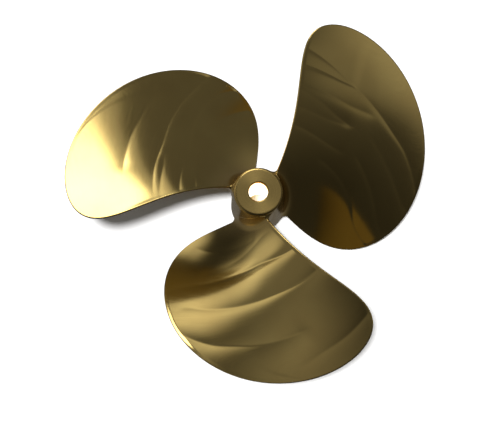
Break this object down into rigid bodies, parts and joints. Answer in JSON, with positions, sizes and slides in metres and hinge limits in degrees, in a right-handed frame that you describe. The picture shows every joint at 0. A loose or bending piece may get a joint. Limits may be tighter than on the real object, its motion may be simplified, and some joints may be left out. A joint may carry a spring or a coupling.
{
  "type": "ship propeller",
  "caption": "Right-handed fixed-pitch boat propeller cast in one piece of polished bronze, with broad swept-back blades and a hub bored for a tapered shaft.",
  "frame": {"origin": "centre of mass, on the shaft axis; the blades' reference lines leave the axis 4 mm below it", "axes": "+Z along the shaft axis towards the stern, out of the smaller hub end; +X along the reference line of the first blade"},
  "size_m": [0.5761, 0.5487, 0.1678],
  "materials": {
    "polished_bronze": "cast bronze, ground and polished by hand to a soft mirror; turned hub face"
  },
  "bodies": {
    "root": {"propeller": "polished_bronze"}
  },
  "joints": []
}
